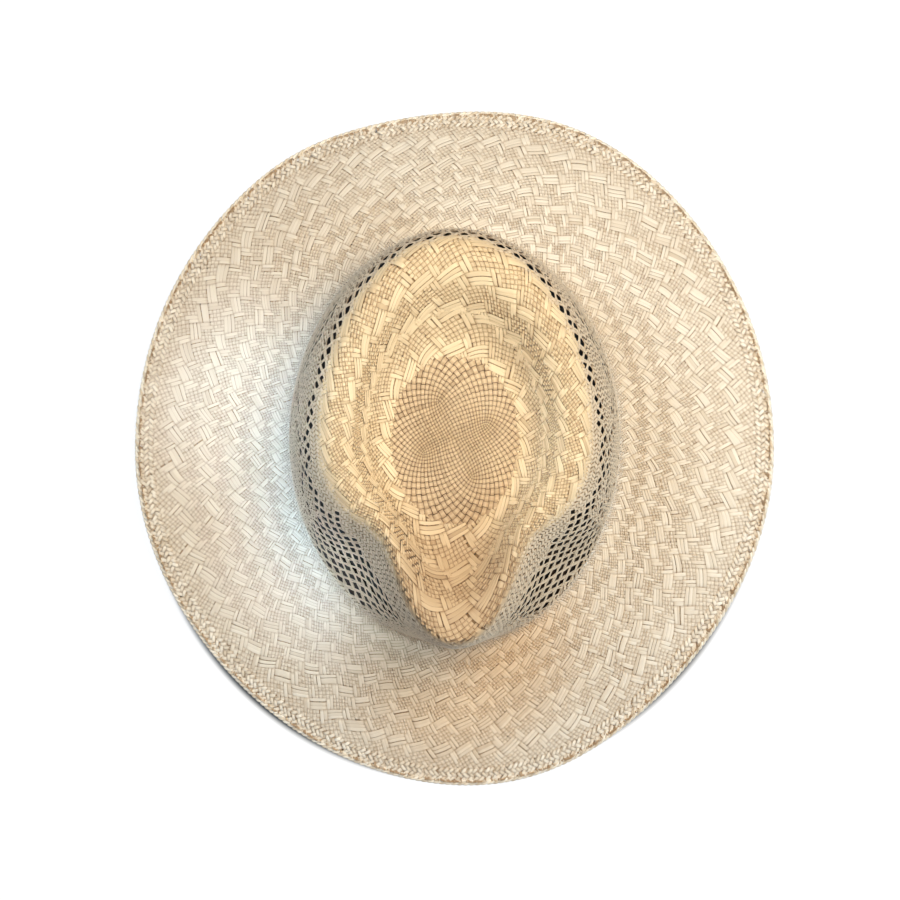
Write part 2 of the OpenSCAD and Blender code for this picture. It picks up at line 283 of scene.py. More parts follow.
# %% [markdown]
# ## Helpers for materials
# A material is a small graph of nodes. One helper feeds the inputs of a node, with values or with the
# sockets of other nodes, and one adds a node. The rest are the few nodes that come back in most materials.

# %% Node helpers
bump_height = 0.2 * MM
# A Mix node has sockets for several kinds of value. These are the ones for its share and its colours.
mix_share, mix_first, mix_second, mix_out = 0, 6, 7, 2


def feed(node, inputs):
    """Set a node's inputs to values, or link them to sockets of other nodes."""
    for key, value in inputs.items():
        if isinstance(value, bpy.types.NodeSocket):
            node.id_data.links.new(value, node.inputs[key])
        else:
            node.inputs[key].default_value = value
    return node


def add_node(tree, kind, inputs, **settings):
    node = tree.nodes.new("ShaderNode" + kind)
    for key, value in settings.items():
        setattr(node, key, value)
    return feed(node, inputs)


def new_material(name):
    made = bpy.data.materials.new(name)
    made.use_nodes = True
    return made, made.node_tree, made.node_tree.nodes["Principled BSDF"]


def attribute(tree, key):
    return add_node(tree, "Attribute", {}, attribute_name=key).outputs["Fac"]


def maths(tree, operation, *values, clamp=False):
    return add_node(tree, "Math", dict(enumerate(values)), operation=operation, use_clamp=clamp).outputs[0]


def combined(tree, **parts):
    return add_node(tree, "CombineXYZ", parts).outputs[0]


def stretched(tree, place, scale, turned=(0.0, 0.0, 0.0)):
    return add_node(tree, "Mapping", {"Vector": place, "Scale": scale, "Rotation": turned}).outputs[0]


def noise(tree, place, **inputs):
    return add_node(tree, "TexNoise", {"Vector": place, **inputs}).outputs["Fac"]


def map_range(tree, value, known, wanted=(0.0, 1.0), kind="LINEAR"):
    ends = {"From Min": known[0], "From Max": known[1], "To Min": wanted[0], "To Max": wanted[1]}
    return add_node(tree, "MapRange", {"Value": value, **ends}, interpolation_type=kind).outputs[0]


def two_tones(tree, value, dark, pale, low=0.0, high=1.0):
    ramp = add_node(tree, "ValToRGB", {"Fac": value})
    for element, place, colour in zip(ramp.color_ramp.elements, (low, high), (dark, pale)):
        element.position = place
        element.color = (*colour, 1.0)
    return ramp.outputs["Color"]


def darkened(tree, share, colour, by):
    """A colour times another one, as far as the share goes."""
    inputs = {mix_share: share, mix_first: colour, mix_second: (*by, 1.0)}
    return add_node(tree, "Mix", inputs, data_type="RGBA", blend_type="MULTIPLY").outputs[mix_out]


def bumpy(tree, height, strength):
    inputs = {"Height": height, "Strength": strength, "Distance": bump_height}
    return add_node(tree, "Bump", inputs).outputs[0]


def soft_oval(tree, middle, size, fade, wanted):
    """The first wanted value inside an upright oval, the second one outside, and a soft change between."""
    where = add_node(tree, "TexCoord", {}).outputs["Object"]
    inputs = {"Vector": where, "Location": middle, "Scale": size}
    place = add_node(tree, "Mapping", inputs, vector_type="TEXTURE").outputs[0]
    away = add_node(tree, "VectorMath", {0: place}, operation="LENGTH").outputs["Value"]
    return map_range(tree, away, fade, wanted, "SMOOTHSTEP")


# %% [markdown]
# ## Straw
# Dried palm leaf is pale cream to tan with fine fibres along the strip and a faint sheen. A darker line runs
# along each strip's edge: partly dust on the cut edge, partly painted shade in the gap between strips. Where
# a strip dips under a crossing one, its colour is darkened as painted shade. Each strip carries its own tone
# and its own length and width as attributes, so the fibres run along it however it bends. A soft oval at the
# nose and at the front of the brim takes a browner tint.

# %% Straw material
fibre_scale, fibre_detail, fibre_share, fibre_bump = (60.0, 9.0, 40.0), 3.0, 0.6, 0.25
patch_scale, patch_fade, patch_least = (260.0, 1.0, 90.0), (0.3, 0.65), 0.35
tone_low, line_fade = 0.15, (0.74, 0.9)
straw_rough, straw_gloss, straw_sheen, sheen_rough = 0.55, 0.35, 0.08, 0.5
# The soft oval at the nose and the front of the brim that takes a browner tint.
front_tint_at, front_tint_size = (0.0, -0.095, 0.0), (0.08, 0.095, 1.0)
front_tint_fade, front_tint_most = (0.35, 1.0), 0.8


def straw_material(name, pale, deep, edge, shade, front_tint):
    made, tree, shader = new_material(name)
    tone = attribute(tree, "tone")
    place = combined(tree, X=attribute(tree, "along"), Y=attribute(tree, "across"), Z=tone)
    fibre = noise(tree, stretched(tree, place, fibre_scale), Scale=1.0, Detail=fibre_detail)
    straw = two_tones(tree, maths(tree, "MULTIPLY_ADD", fibre, fibre_share, tone), deep, pale, tone_low)
    patch = noise(tree, stretched(tree, place, patch_scale), Scale=1.0)
    fade = map_range(tree, patch, patch_fade, (patch_least, 1.0))
    # The edge line: partly dust on the cut edge, partly painted shade in the gap between strips.
    lines = maths(tree, "MULTIPLY", map_range(tree, attribute(tree, "rim"), line_fade), fade)
    dusted_and_shaded = darkened(tree, lines, straw, edge)
    # Painted shade where the strip dips under a crossing strip.
    sunk_shaded = darkened(tree, attribute(tree, "sunk"), dusted_and_shaded, shade)
    # A browner tint in the soft oval at the nose and the front of the brim.
    front_share = soft_oval(tree, front_tint_at, front_tint_size, front_tint_fade, (front_tint_most, 0.0))
    feed(shader, {
        "Base Color": darkened(tree, front_share, sunk_shaded, front_tint),
        "Roughness": straw_rough,
        "Specular IOR Level": straw_gloss,
        "Sheen Weight": straw_sheen,
        "Sheen Roughness": sheen_rough,
        "Normal": bumpy(tree, fibre, fibre_bump),
    })
    return made


# %% Five straws
# Edge colours: partly dust on the cut edges, partly painted shade in the gaps between strips.
edge_dust_shade, faint_edge_dust_shade, deep_edge_dust_shade = (0.25, 0.155, 0.09), (0.54, 0.42, 0.31), (0.16, 0.09, 0.05)
# The shadow colours are painted shade where a strip dips under a crossing strip.
shadow, brim_shadow = (0.55, 0.42, 0.3), (0.55, 0.44, 0.34)
wall_edge_dust_shade, wall_shadow = (0.62, 0.5, 0.38), (0.74, 0.63, 0.51)
# Browner tints for the oval at the nose and the front of the brim.
front_tint_brim, front_tint_crown, front_tint_wall = (0.94, 0.76, 0.57), (0.64, 0.56, 0.52), (1.0, 0.96, 0.92)

brim_straw = straw_material(
    "brim_straw", (0.84, 0.75, 0.62), (0.6, 0.48, 0.345), faint_edge_dust_shade, brim_shadow, front_tint_brim)
wall_straw = straw_material(
    "wall_straw", (0.82, 0.67, 0.48), (0.55, 0.43, 0.29), wall_edge_dust_shade, wall_shadow, front_tint_wall)
crown_straw = straw_material(
    "crown_straw", (0.84, 0.66, 0.41), (0.54, 0.37, 0.2), edge_dust_shade, shadow, front_tint_crown)
rosette_straw = straw_material(
    "rosette_straw", (0.74, 0.55, 0.33), (0.46, 0.31, 0.17), deep_edge_dust_shade, shadow, front_tint_crown)
edge_straw = straw_material(
    "edge_straw", (0.92, 0.84, 0.71), (0.64, 0.52, 0.37), edge_dust_shade, shadow, front_tint_brim)
print("straw materials", [m.name for m in (brim_straw, wall_straw, crown_straw, rosette_straw, edge_straw)])

# %% [markdown]
# ## A lattice on the hat
# Seen flat, the cloth is a square lattice of two lays of strips. Going once round the hat moves by a fixed
# count of strips in each lay, and going outwards moves square to that, so the strips run as spirals and the
# cells stay square while they grow with the radius, as they do on the real hat.


# %% Lattice zones
class Zone:
    """A ring of the cloth between two places of the meridian, with its counts of strips round the hat."""

    angles, meridian_steps, depth_steps = np.linspace(0, 360, 181), 161, 241
    sink, sink_span = 0.35 * MM, 0.03
    sway_cells = 20
    # Each sway: cells aside, times the zone's own waves, waves more, cells a radian and phase.
    sways_i = ((0.3, 1, 0, 5, 0), (0.18, 2, 0, -4, 1))
    sways_j = ((0.3, 1, 3, -6, 2), (0.18, 2, -5, 4, 3))

    def __init__(self, inner, outer, counts, rows=None, sinks=(0, 5)):
        self.sinks = sinks
        self.counts = np.array(counts, float)
        self.round = np.linalg.norm(self.counts)
        self.tangent = self.counts / self.round
        self.radial = np.array([-self.tangent[1], self.tangent[0]])
        steps = np.linspace(inner, outer, self.meridian_steps)
        p = hat_point(self.angles[:, None], steps[None, :])
        length = np.linalg.norm(np.diff(p, axis=1), axis=2)
        radius = np.hypot(p[..., 0], p[..., 1] - crown_back)
        middle = (radius[:, 1:] + radius[:, :-1]) / 2
        q = np.cumsum(length / middle, axis=1) * self.round / (2 * np.pi)
        q = np.concatenate([np.zeros((len(q), 1)), q], 1)
        if rows:
            q = q / q[:, -1:] * rows
        self.reach = q[:, -1]
        self.depth = np.linspace(0, q.max(), self.depth_steps)
        self.place = np.stack([np.interp(self.depth, row, steps) for row in q])

    def polar(self, i, j):
        q = i * self.radial[0] + j * self.radial[1]
        return (i * self.tangent[0] + j * self.tangent[1]) / self.round, q

    def limit(self, turn):
        return np.interp(np.mod(turn, 1) * 360, self.angles, self.reach)

    def meridian(self, turn, q):
        x = np.mod(turn, 1) * (len(self.angles) - 1)
        y = np.clip(q / self.depth[-1], 0, 1) * (len(self.depth) - 1)
        x0 = np.minimum(x.astype(int), len(self.angles) - 2)
        y0 = np.minimum(y.astype(int), len(self.depth) - 2)
        fx, fy = x - x0, y - y0
        t = self.place
        return ((t[x0, y0] * (1 - fx) + t[x0 + 1, y0] * fx) * (1 - fy)
                + (t[x0, y0 + 1] * (1 - fx) + t[x0 + 1, y0 + 1] * fx) * fy)

    def sway(self, sways, turn, q):
        """How far the strips stray from their straight lines, in cells."""
        waves = round(self.round / self.sway_cells)
        return sum(aside * np.sin((times * waves + more) * 2 * np.pi * turn + q / long + phase)
                   for aside, times, more, long, phase in sways)

    def on_hat(self, i, j, depth):
        turn, q = self.polar(i, j)
        turn, q = self.polar(i + self.sway(self.sways_i, turn, q), j + self.sway(self.sways_j, turn, q))
        a, s = turn * 360, self.meridian(turn, q)
        past = np.maximum(self.sinks[0] - s, s - self.sinks[1])
        deep = depth + self.sink * np.clip(past / self.sink_span, 0, 1)
        return hat_point(a, s) - deep[..., None] * outward(a, s)


# %% [markdown]
# ## Over and under
# In plain weave each strip goes over one and under one. In the twill of the wall it goes over two and under
# two, one step further in each row, so its ribs lie level. The wide blocks are places where one lay floats
# over five or six strips of the other, three strips side by side. The next block starts where the last one
# ends, like a staircase round the hat, and at both ends two strips of the other lay float in their turn.

# %% Weave pattern
float_wide = 2


def plain(i, j):
    return np.mod(i + j, 2) == 0


def level_rows(i, j):
    """Twill whose ribs lie level round the hat: two over and two under, row by row."""
    return np.mod(j - i, 4) < 2


def blocks(ground, size, first, ring_step, rings):
    """A pattern of rings of blocks on a ground weave: true where the lay that runs along i is on top."""
    long, wide = size

    def pattern(i, j):
        top = ground(i, j)
        for ring in range(rings):
            row = j - first[1] - ring * ring_step[1]
            at = i - first[0] - ring * ring_step[0] - long * np.floor_divide(row, wide)
            top = np.where((at >= -float_wide) & (at < long + float_wide), (at >= 0) & (at < long), top)
        return top
    return pattern


# %% What a strip is like
rng = np.random.default_rng(7)
weave_depth, wave = 0.95 * MM, 0.5 * MM
top_swell, under_swell = 0.16 * MM, 0.2 * MM
cell_length, float_line = 1.6 * MM, 0.87
uneven_width, uneven_place = 0.05, 0.07
tone_base, tone_span, brown_less, brown_share = 0.36, 0.38, 0.3, 0.09
lens = ((-1, 0.0), (0, top_swell), (1, 0.0), (0, -under_swell))


def strip_tone():
    """Most strips are alike, and a few are browner."""
    brown = brown_less if rng.random() < brown_share else 0.0
    return tone_base + tone_span * rng.random() - brown


def strip_values(along, tone, up, line=1.0):
    """What the straw material reads at each point of a lens section."""
    # sunk is painted shade: it grows where the strip goes down under a crossing one.
    sunk = np.clip(0.5 - up / wave / 2, 0, 1)
    # rim marks the strip's edges, where a line of dust and painted shade is drawn.
    across, rim = np.array([0.0, 0.5, 1.0, 0.5]), np.array([1.0, 0.0, 1.0, 0.0])
    n, columns = len(along), len(lens)
    line = np.broadcast_to(line, n)
    return {
        "along": np.repeat(along[:, None], columns, 1),
        "across": np.repeat(across[None, :], n, 0),
        "tone": np.repeat(tone[:, None], columns, 1),
        "rim": line[:, None] * rim,
        "sunk": np.repeat(sunk[:, None], columns, 1),
    }


# %% Strips of one lay
cells_past, end_dive, least_stations = 0.6, 1.3, 3


def lay(zone, name, along_i, strips, pattern, width, shift=None, ground_line=1.0, puff=0.0):
    """The given strips of one lay in a zone, as one mesh."""
    main, side = (zone.radial[0], zone.radial[1]) if along_i else (zone.radial[1], zone.radial[0])
    counts, line, cross, tone, uneven = [], [], [], [], []
    for strip in strips:
        start = -strip * side / main
        low, high = sorted((start, start + zone.reach.max() / main))
        t = np.arange(math.floor(low) - 1.0, math.ceil(high) + 2.0)
        turn, q = zone.polar(*((t, 0 * t + strip) if along_i else (0 * t + strip, t)))
        inside = (q > -cells_past) & (q < zone.limit(turn) + cells_past)
        edges = np.flatnonzero(np.diff(np.concatenate([[0], inside.astype(int), [0]])))
        for a, b in zip(edges[::2], edges[1::2]):
            if b - a >= least_stations:
                counts.append(b - a)
                line.append(t[a:b])
                cross.append(np.full(b - a, float(strip)))
                tone.append(np.full(b - a, strip_tone()))
                uneven.append(np.full(b - a, rng.standard_normal()))
    line, cross, tone = np.concatenate(line), np.concatenate(cross), np.concatenate(tone)
    uneven = np.concatenate(uneven)
    last = np.cumsum(counts)
    ends = np.zeros(len(line), bool)
    ends[last - 1] = True
    ends[last - np.array(counts)] = True

    def over(at):
        return pattern(at, cross) if along_i else ~pattern(cross, at)

    up = np.where(ends, -end_dive * wave, np.where(over(line), wave, -wave))
    half = np.where(ends, 0.0, width / 2 * (1 + uneven_width * uneven))
    floats = over(line - 1) & over(line) & over(line + 1)
    values = strip_values(line * cell_length, tone, up, np.where(floats, float_line, ground_line))
    puffed = np.where(floats | ends, 0.0, puff)
    if shift:
        moved, thinner = shift(zone, line, cross, along_i)
        cross, half, up = cross + moved, half * thinner, up * thinner ** 2
        values["rim"] *= np.sqrt(thinner)[:, None]
        values["sunk"] *= thinner[:, None]
    cross = cross + uneven_place * uneven
    spots = []
    for side, swell in lens:
        lateral = cross + side * half
        at = (line, lateral) if along_i else (lateral, line)
        rise = np.where(ends, 0.0, swell) + np.where(swell > 0, puffed, 0.0)
        spots.append(zone.on_hat(*at, weave_depth - up - rise))
    return ribbons(name, counts, np.stack(spots, 1), values)


def weave(zone, name, pattern, material, nodes, parts=1, **more):
    """Both lays of a zone, each in so many parts that no mesh grows too heavy."""
    for along_i, kind in ((True, "long"), (False, "cross")):
        strips = np.arange(int(zone.counts[1] if along_i else zone.counts[0]))
        for part, some in enumerate(np.array_split(strips, parts)):
            mesh = lay(zone, f"{name}_{kind}_{part + 1}", along_i, some, pattern, **more)
            piece(mesh, material, "straw", *nodes)


# %% [markdown]
# ## Brim
# Seven rings of eighty-four blocks run round the brim, with plain weave between them, whose strips puff up a
# little where they cross. The cloth starts in the turn at the crown's foot, so its ends are hidden there.

# %% Brim cloth
brim_zone = Zone(inner=1.9, outer=-0.01, counts=(420, 252), rows=48, sinks=(border_s, 5))
brim_pattern = blocks(plain, size=(5, 3), first=(0, -1), ring_step=(-4, 7), rings=7)
weave(brim_zone, "brim", brim_pattern, brim_straw, ("brim", "crown_collar"),
      parts=2, width=0.96, ground_line=0.93, puff=0.14 * MM)

# %% [markdown]
# ## Crown wall with vents
# The wall is a close twill, and its strips run at half a right angle. To open a vent the weaver draws the
# strips together in bunches of three, both ways, so gaps are left between the bunches. Drawn together they
# also lie flat, which keeps the holes open to a slanting view.

# %% Where the vents are
chain_start, lozenges, lozenge_h, outline_w, chain_low = 14, 3.5, 0.88, 0.15, 0.03
lozenge_a = (180 - chain_start) / lozenges
mesh_end, row_low, row_rise, row_half = 60, 2.57, 0.16, 0.05
mesh_low, mesh_drop, drop_from, drop_span = 2.03, 0.37, 12, 14
mesh_high, mesh_rise, rise_from, rise_span = 2.5, 0.22, 35, 25


def smooth(x):
    x = np.clip(x, 0, 1)
    return x * x * (3 - 2 * x)


def vent_open(a, s):
    """True in the two meshes beside the nose, the ring of vents and the chain of lozenges behind them."""
    f = from_front(a)
    low = mesh_low + mesh_drop * (1 - smooth((f - drop_from) / drop_span))
    high = mesh_high + mesh_rise * smooth((f - rise_from) / rise_span)
    mesh = (f > chain_start) & (f < mesh_end) & (s > low) & (s < high)
    row = row_low + row_rise * smooth((f - mesh_end) / mesh_end)
    ring = (f >= mesh_end) & (np.abs(s - row) < row_half)
    k = (f - chain_start) / lozenge_a
    share = (s - 2 - vent_low) / (vent_high - vent_low)
    middle = np.abs(2 * (k - np.floor(k)) - 1) + np.abs(2 * share - 1) / lozenge_h
    whole = np.mod(np.floor(k), 2) == 0
    chain = (k > 1) & (share > chain_low) & (share < 1)
    chain &= np.where(whole, middle < 1 + outline_w, np.abs(middle - 1) < outline_w)
    return mesh | ring | chain


# %% Drawing strips together
bunch_size, bunch_close, bunch_slim = 3, 0.7, 0.46


def bunch(zone, line, cross, along_i):
    """How far a strip moves towards the middle of its bunch beside open vents, and how narrow it gets."""
    off = np.mod(cross + bunch_size // 2, bunch_size) - bunch_size // 2
    before = np.floor(line / bunch_size - 0.5)
    blend = smooth(line / bunch_size - 0.5 - before)
    pull = np.zeros(len(line))
    for way in (-1, 1):
        beside = cross - off + bunch_size / 2 * np.where(off == 0, way, np.sign(off))
        for step, share in ((0, 1 - blend), (1, blend)):
            along = bunch_size * (before + step + 0.5)
            turn, q = zone.polar(*((along, beside) if along_i else (beside, along)))
            pull += 0.5 * share * vent_open(turn * 360, zone.meridian(turn, q))
    return -bunch_close * pull * off, 1 - bunch_slim * pull


# %% Wall cloth
wall_zone = Zone(inner=2.9, outer=1.7, counts=(204, 204), rows=41, sinks=(1.9, 2.84))
weave(wall_zone, "wall", level_rows, wall_straw, ("vent_band", "crown_collar"), width=0.97, shift=bunch)

# %% [markdown]
# ## Crown top
# Round the rosette lie rings of twenty-two wide blocks. Further out more strips are added, so the next rings
# have thirty-four, over the ridge and down the shoulder to the vents. Plain weave lies between the rings.

# %% Crown cloth
inner_zone = Zone(inner=4.06, outer=3.55, counts=(132, 66), sinks=(3.58, 5))
outer_zone = Zone(inner=3.65, outer=2.79, counts=(204, 102))
inner_pattern = blocks(plain, size=(6, 3), first=(0, 3), ring_step=(-4, 8), rings=3)
outer_pattern = blocks(plain, size=(6, 3), first=(0, 4), ring_step=(-4, 8), rings=6)
weave(inner_zone, "dent", inner_pattern, crown_straw, ("crown_dent",), width=0.96)
weave(outer_zone, "shoulder", outer_pattern, crown_straw, ("crown_shoulder", "crown_dent"), width=1.0)

# %% [markdown]
# ## Rosette
# The weaving starts with a square of crossed strips. At the four corners of that square the strips of one
# side turn to meet those of the next, so further out they all run as spirals. A formula with four corner
# points gives that flow: each strip is followed step by step from the middle outwards.

# %% The flow of the strips
corner_share, corner_turn, rosette_m, rosette_run, rosette_line = 0.5, 25, 13, 6, 1.12
square_reach, rosette_wide, rosette_keep, rosette_most = 1.1107, 0.94, 1.02, 1.03
corner_w = square_reach * corner_share


def follow(start, direction, cell, steps):
    """Points of the strips that leave the starts, half a cell apart."""
    z = start.astype(complex)
    flow = np.ones(len(z), complex)
    line = [z]

    def speed(at, near):
        root = (1 - (at / corner_share) ** 4) ** 0.25
        turns = np.array([1, 1j, -1, -1j])
        options = root[:, None] * turns
        return options[np.arange(len(at)), np.argmax((options * np.conj(near)[:, None]).real, 1)]

    fine = 4
    h = direction * cell / 2 / fine
    for _ in range(steps):
        for _ in range(fine):
            k1 = speed(z, flow)
            k2 = speed(z + h * k1 / 2, k1)
            z = z + h * k2
            flow = speed(z, k2)
        line.append(z)
    return np.stack(line, 1)


# %% Rosette cloth
def rosette_strips():
    cell = corner_w / rosette_m
    index = np.arange(-rosette_m, rosette_m)
    axis = follow(np.zeros(1), 1.0, cell, 2 * rosette_m)[0].real
    c = index + 0.5
    start = 1j * np.sign(c) * axis[(np.abs(c) * 2).astype(int)]
    steps = rosette_run * rosette_m
    right = follow(start, 1.0, cell, steps)
    left = follow(start, -1.0, cell, steps)
    counts, paths, heights, tones = [], [], [], []
    for quarter in (1, 1j):
        for n, k in enumerate(index):
            z = np.concatenate([left[n, :0:-1], right[n]]) * quarter
            t = np.arange(-steps, steps + 1) / 2
            keep = np.abs(z) < rosette_keep
            low, high = np.flatnonzero(keep)[[0, -1]]
            z, t = z[low:high + 1], t[low:high + 1]
            crossed = (np.floor(t - 0.5), np.ceil(t - 0.5))
            up = sum(np.where(np.mod(k + at, 2) == 0, wave, -wave) for at in crossed) / 2
            counts.append(len(z))
            paths.append(z)
            heights.append(up)
            tones.append(np.full(len(z), strip_tone()))
    return counts, paths, heights, tones


def rosette_lay(name):
    counts, paths, heights, tones = rosette_strips()
    turn = np.exp(1j * np.radians(corner_turn))
    spots = []
    for z, up in zip(paths, heights):
        step = np.gradient(z)
        side = 1j * step / np.abs(step)
        end = np.zeros(len(z), bool)
        end[[0, -1]] = True
        half = np.where(end, 0, rosette_wide) * np.abs(step)
        rows = []
        for across, swell in lens:
            w = (z + side * half * across) * turn
            a, share = np.degrees(np.angle(w)), np.minimum(np.abs(w), rosette_most)
            p = crown_point(a, rosette_r(a) * share, crown_h - dent_depth + 0 * a)
            p[:, 2] -= weave_depth - up - np.where(end, -wave, swell)
            rows.append(p)
        spots.append(np.stack(rows, 1))
    along = np.concatenate([np.arange(len(z)) * cell_length / 2 for z in paths])
    values = strip_values(along, np.concatenate(tones), np.concatenate(heights), rosette_line)
    return ribbons(name, counts, np.concatenate(spots), values)


piece(rosette_lay("rosette_cloth"), rosette_straw, "straw", "crown_rosette")

# %% [markdown]
# ## Border
# Outside the blocks the ends of the strips are folded back and tucked in, which leaves three rows of short
# slanted pads. Each pad is one small ribbon whose ends dive under its neighbours, so a loop lays them all.

# %% Border pads
pads, pad_rows, stations = 350, 3, 5
pad_long, pad_wide, pad_lift, pad_swell = 2.6 * MM, 0.98 * MM, 0.6 * MM, 2.4
pad_shift, pad_stray, pad_uneven, pad_top, pad_dive = 0.8 * MM, 0.15, 0.12 * MM, 0.95, 1.9
pad_lean = math.radians(45)


def border_pads(name):
    step = np.linspace(-1, 1, stations)
    n = np.arange(pads)
    spots, ups = [], []
    for row in range(pad_rows):
        lean = 1 if row % 2 == 0 else -1
        middle_a = 360 * (n + 0.5 * row) / pads + pad_stray * rng.standard_normal(pads)
        up = wave * (pad_top - pad_dive * step**2) + pad_uneven * rng.standard_normal(pads)[:, None]
        half = pad_wide * np.sqrt(1 - step**4)
        rows = []
        for side, swell in lens:
            tangent = lean * math.cos(pad_lean) * pad_long * step + math.sin(pad_lean) * side * half
            out = math.sin(pad_lean) * pad_long * step - lean * math.cos(pad_lean) * side * half
            a = middle_a[:, None] + np.degrees(tangent[None, :] / edge_r(middle_a)[:, None])
            out = border_w * (row + 0.5) / pad_rows - pad_shift + out
            s = out / border_w * border_s + 0 * a
            depth = weave_depth - pad_lift - up - pad_swell * swell * (np.abs(step) < 1)
            rows.append(hat_point(a, s) - depth[..., None] * outward(a, s))
        spots.append(np.stack(rows, 2).reshape(-1, len(lens), 3))
        ups.append(up.ravel())
    up = np.concatenate(ups)
    tone = np.repeat([strip_tone() for _ in range(pads * pad_rows)], stations)
    along = np.tile(step * pad_long, pads * pad_rows)
    values = strip_values(along, tone, up)
    return ribbons(name, [stations] * (pads * pad_rows), np.concatenate(spots), values)


piece(border_pads("border_pads"), edge_straw, "straw_edge", "brim_border")

# %% [markdown]
# ## Edge
# The rim ends in a thin plait of three strands. Three round strands twisted about one line give the same
# row of slanted pads from every side. Each strand is a long closed tube, so it needs no ends.

# %% Edge plait
strands, plait_turns, turn_steps, strand_sides = 3, 117, 8, 6
strand_r, twist_r, plait_in = 0.85 * MM, 0.76 * MM, 1.7 * MM
groove_middle, groove_swing, groove_most = 0.5, 0.7, 0.84


def edge_plait(name):
    count = plait_turns * turn_steps
    k = np.arange(count + 1) % count
    a = 360 * k / count
    out = np.stack([np.cos(np.radians(a)), np.sin(np.radians(a)), 0 * a], -1)
    up = np.array([0.0, 0.0, 1.0])
    core = edge_point(a, plait_in, 0 * a)
    spots, grooves, tones = [], [], []
    for strand in range(strands):
        twist = 2 * np.pi * (k / turn_steps + strand / strands)
        middle = core + twist_r * (np.cos(twist)[:, None] * out + np.sin(twist)[:, None] * up)
        rows, dark = [], []
        for side in range(strand_sides):
            turn = 2 * np.pi * side / strand_sides
            away = np.cos(turn) * out + np.sin(turn) * up
            rows.append(middle + strand_r * away)
            # Painted shade: faces turned in towards the other strands, in the grooves, are darkened.
            dark.append(np.clip(groove_middle - groove_swing * np.cos(turn - twist), 0, groove_most))
        spots.append(np.stack(rows, 1))
        grooves.append(np.stack(dark, 1))
        tones.append(np.full(count + 1, strip_tone()))
    columns = np.tile(np.arange(strand_sides) / strand_sides, (strands * (count + 1), 1))
    along = np.tile(np.arange(count + 1) * cell_length, strands)
    values = {
        "along": np.repeat(along[:, None], strand_sides, 1),
        "across": columns,
        "tone": np.repeat(np.concatenate(tones)[:, None], strand_sides, 1),
        # Here rim carries that painted shade in the grooves.
        "rim": np.concatenate(grooves),
        "sunk": 0 * columns,
    }
    return ribbons(name, [count + 1] * strands, np.concatenate(spots), values)


piece(edge_plait("edge_plait"), edge_straw, "straw_edge", "brim_edge")

# %% [markdown]
# ## Sweatband
# A dark leather band lies inside the foot of the crown. It is a thin ring, so its section is drawn once, up
# the inner face and down the outer one, and swept round the hat with the same helper as the strips. The last
# station repeats the first, so the weld closes the ring.

# %% Places inside the crown
band_depth, band_t, band_h = 2.1 * MM, 1.2 * MM, 34 * MM
seam_up, bow_up, lining_depth = 3 * MM, 18 * MM, 3.3 * MM
wall_steps = 400


def wall_place(h):
    u = np.linspace(0, 1, wall_steps)
    top = crown_h + nose_rise * bell(90.0, 2 * nose_span)
    return 2 + float(np.interp(h, bezier([turn_r, wall_mid * top, top, top], u) - turn_r, u))


def under(a, s, depth):
    a, s = np.broadcast_arrays(np.asarray(a, float), np.asarray(s, float))
    return hat_point(a, s) - (depth + 0 * a)[..., None] * outward(a, s)


def sweep_values(along, columns):
    return {
        "along": np.repeat(along[:, None], columns, 1),
        "across": np.repeat((np.arange(columns) / columns)[None, :], len(along), 0),
    }


print("seam at", round(wall_place(seam_up), 4), "top of the band at", round(wall_place(band_h), 4))

# %% [markdown]
# Leather has a fine pebbled grain. Small cells of noise make the bumps, and broader noise makes it more worn
# and duller in places. Thread and ribbon carry fine slanted ribs across their length, read from the length
# attribute.

# %% Leather, thread and ribbon
grain_scale, grain_bump, grain_gloss = 900.0, 0.4, 0.15
worn_scale, worn_detail, worn_fade, rough_play = 70.0, 5.0, (0.3, 0.75), 0.12
rib_wide, rib_slant, rib_warp, rib_bump, rib_rough, rib_sheen = 3.0, 0.5, 0.6, 0.5, 0.75, 0.3


def grain_material(name, dark, pale, rough):
    made, tree, shader = new_material(name)
    where = add_node(tree, "TexCoord", {}).outputs["Object"]
    cells = add_node(tree, "TexVoronoi", {"Vector": where, "Scale": grain_scale}).outputs["Distance"]
    worn = noise(tree, where, Scale=worn_scale, Detail=worn_detail)
    feed(shader, {
        "Base Color": two_tones(tree, worn, dark, pale, *worn_fade),
        "Roughness": map_range(tree, worn, (0.0, 1.0), (rough - rough_play, rough + rough_play)),
        "Specular IOR Level": grain_gloss,
        "Normal": bumpy(tree, cells, grain_bump),
    })
    return made


def ribbed_material(name, dark, pale, ribs):
    made, tree, shader = new_material(name)
    place = combined(tree, X=attribute(tree, "along"), Y=attribute(tree, "across"))
    slanted = stretched(tree, place, (ribs, rib_wide, 1.0), (0.0, 0.0, rib_slant))
    rib = add_node(tree, "TexWave", {"Vector": slanted, "Scale": 1.0, "Distortion": rib_warp}).outputs["Fac"]
    feed(shader, {
        "Base Color": two_tones(tree, rib, dark, pale),
        "Roughness": rib_rough,
        "Sheen Weight": rib_sheen,
        "Normal": bumpy(tree, rib, rib_bump),
    })
    return made


leather = grain_material("band_leather", (0.02, 0.0125, 0.0085), (0.06, 0.038, 0.026), rough=0.55)
thread = ribbed_material("waxed_thread", (0.55, 0.46, 0.33), (0.82, 0.74, 0.6), ribs=900.0)
ribbon = ribbed_material("ribbed_ribbon", (0.03, 0.02, 0.014), (0.06, 0.04, 0.03), ribs=700.0)
print("inner materials", [m.name for m in (leather, thread, ribbon)])

# %% Leather band
band_rows, band_stations, band_step, band_fold = 9, 256, 2 * MM, 0.004
band_swell = 0.15 * MM
# Each ripple: how deep, how many round the hat and phase.
ripples = ((0.12 * MM, 23, 0), (0.1 * MM, 41, 1))


